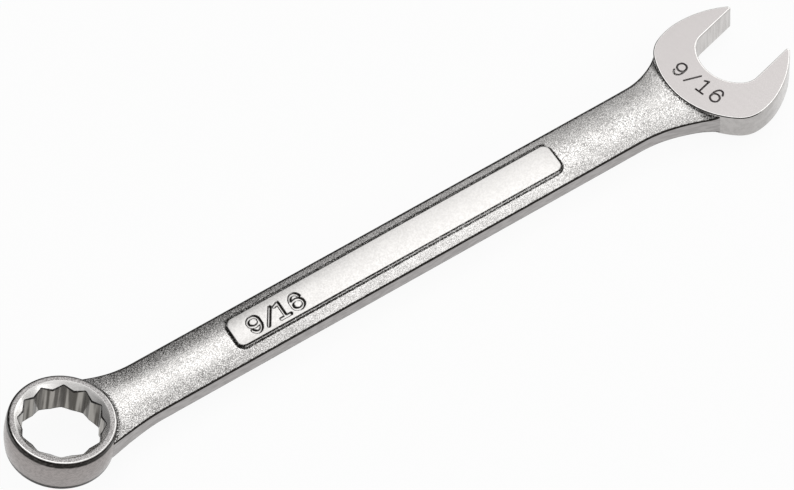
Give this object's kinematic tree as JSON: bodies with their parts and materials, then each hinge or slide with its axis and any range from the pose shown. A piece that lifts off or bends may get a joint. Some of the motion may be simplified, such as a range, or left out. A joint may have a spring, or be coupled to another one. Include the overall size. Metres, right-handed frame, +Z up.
{
  "type": "combination wrench",
  "caption": "Combination wrench: tilted box end with a multi-point socket, raised-panel shank and angled open end, for turning hexagon nuts and bolt heads.",
  "frame": {"origin": "under the middle of the wrench's bounding box, level with its lowest point, which is the heel of the box end", "axes": "+X along the shank from the box end to the open end, +Y to the side that the jaws turn towards, +Z up, out of the face that the box end rises from"},
  "size_m": [0.1712, 0.0268, 0.013],
  "materials": {
    "polished_chrome_box_end": "polished chrome plate over forged steel",
    "satin_chrome_shank": "satin chrome plate over a fine blasted forging surface",
    "polished_chrome_open_end": "polished chrome plate over a ground forged head"
  },
  "bodies": {
    "root": {"box_end": "polished_chrome_box_end", "shank": "satin_chrome_shank", "open_end": "polished_chrome_open_end"}
  },
  "joints": []
}
